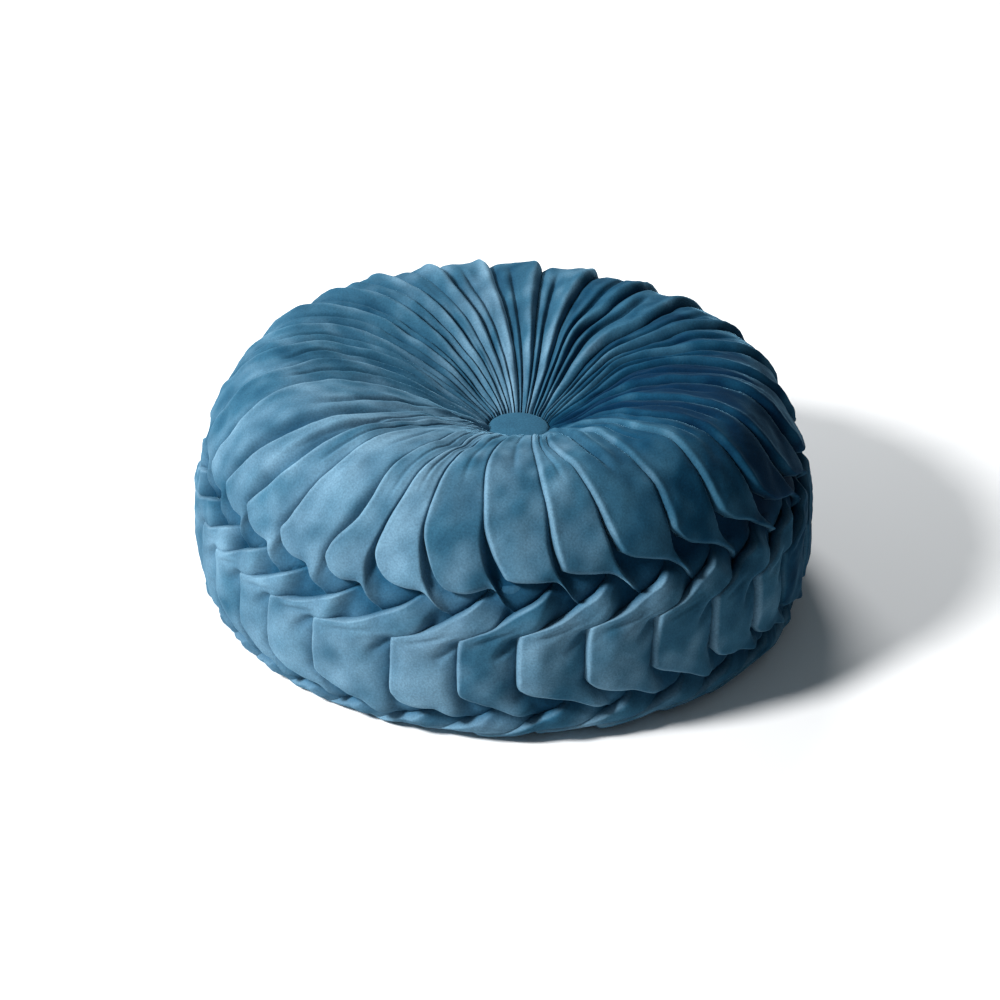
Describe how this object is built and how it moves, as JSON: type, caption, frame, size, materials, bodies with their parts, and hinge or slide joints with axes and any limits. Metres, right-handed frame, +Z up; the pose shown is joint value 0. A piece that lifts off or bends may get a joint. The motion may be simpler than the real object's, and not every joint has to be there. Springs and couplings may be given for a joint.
{
  "type": "tufted round cushion",
  "caption": "Round velvet scatter cushion, pleated from a sunken covered button on each face, with a lattice-smocked side of square puffs, stuffed full.",
  "frame": {"origin": "middle of the flat resting face, on the surface it stands on", "axes": "+Z up through the tufting buttons, -Y towards the front as seen in the picture, +X to the viewer's right"},
  "size_m": [0.3799, 0.3791, 0.153],
  "materials": {
    "velvet": "short velvet pile, dusty teal blue with a pale sheen along the folds",
    "button_velvet": "the same velvet stretched smooth over a button mould"
  },
  "bodies": {
    "root": {"cushion_body": "velvet", "button_top": "button_velvet", "button_under": "button_velvet"}
  },
  "joints": []
}
